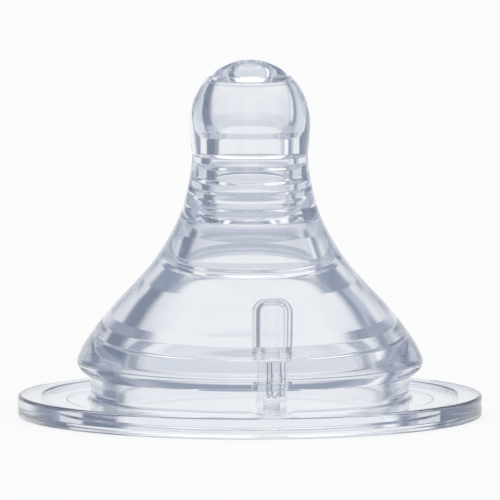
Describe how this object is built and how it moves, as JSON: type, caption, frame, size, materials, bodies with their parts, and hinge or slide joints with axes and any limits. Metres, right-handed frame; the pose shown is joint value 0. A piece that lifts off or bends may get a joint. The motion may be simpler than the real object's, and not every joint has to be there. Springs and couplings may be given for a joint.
{
  "type": "wide-neck baby bottle teat",
  "caption": "Clear silicone feeding teat: flat round flange, grooved neck with an air vent, flared bell, ribbed neck and rounded sucking tip with a feeding slit.",
  "frame": {"origin": "centre of the flange's flat underside, on the axis of the teat", "axes": "+Z along the teat's axis from the flange to the feeding tip; the air vent is on the -Y side"},
  "size_m": [0.055, 0.055, 0.0421],
  "materials": {
    "silicone": "clear glossy liquid silicone rubber"
  },
  "bodies": {
    "bell_body": {"flange_rim": "silicone", "flange_web": "silicone", "neck_wall": "silicone", "retaining_bead": "silicone", "bell_wall": "silicone", "bell_shoulder": "silicone", "bell_throat": "silicone", "neck_sleeve": "silicone", "neck_rib_1": "silicone", "neck_rib_2": "silicone", "neck_rib_3": "silicone", "neck_rib_4": "silicone", "vent_block": "silicone", "vent_thimble": "silicone"},
    "feeding_tip": {"bulb_wall": "silicone", "crown_roof": "silicone", "feeding_membrane": "silicone"}
  },
  "joints": [
    {"name": "neck_stretch", "type": "slide", "parent": "bell_body", "child": "feeding_tip", "axis": [0, 0, 1], "range_m": [-0.0015, 0.003], "stiffness_N_per_m": 2500, "deforming": ["neck_sleeve", "neck_rib_1", "neck_rib_2", "neck_rib_3", "neck_rib_4"]}
  ]
}
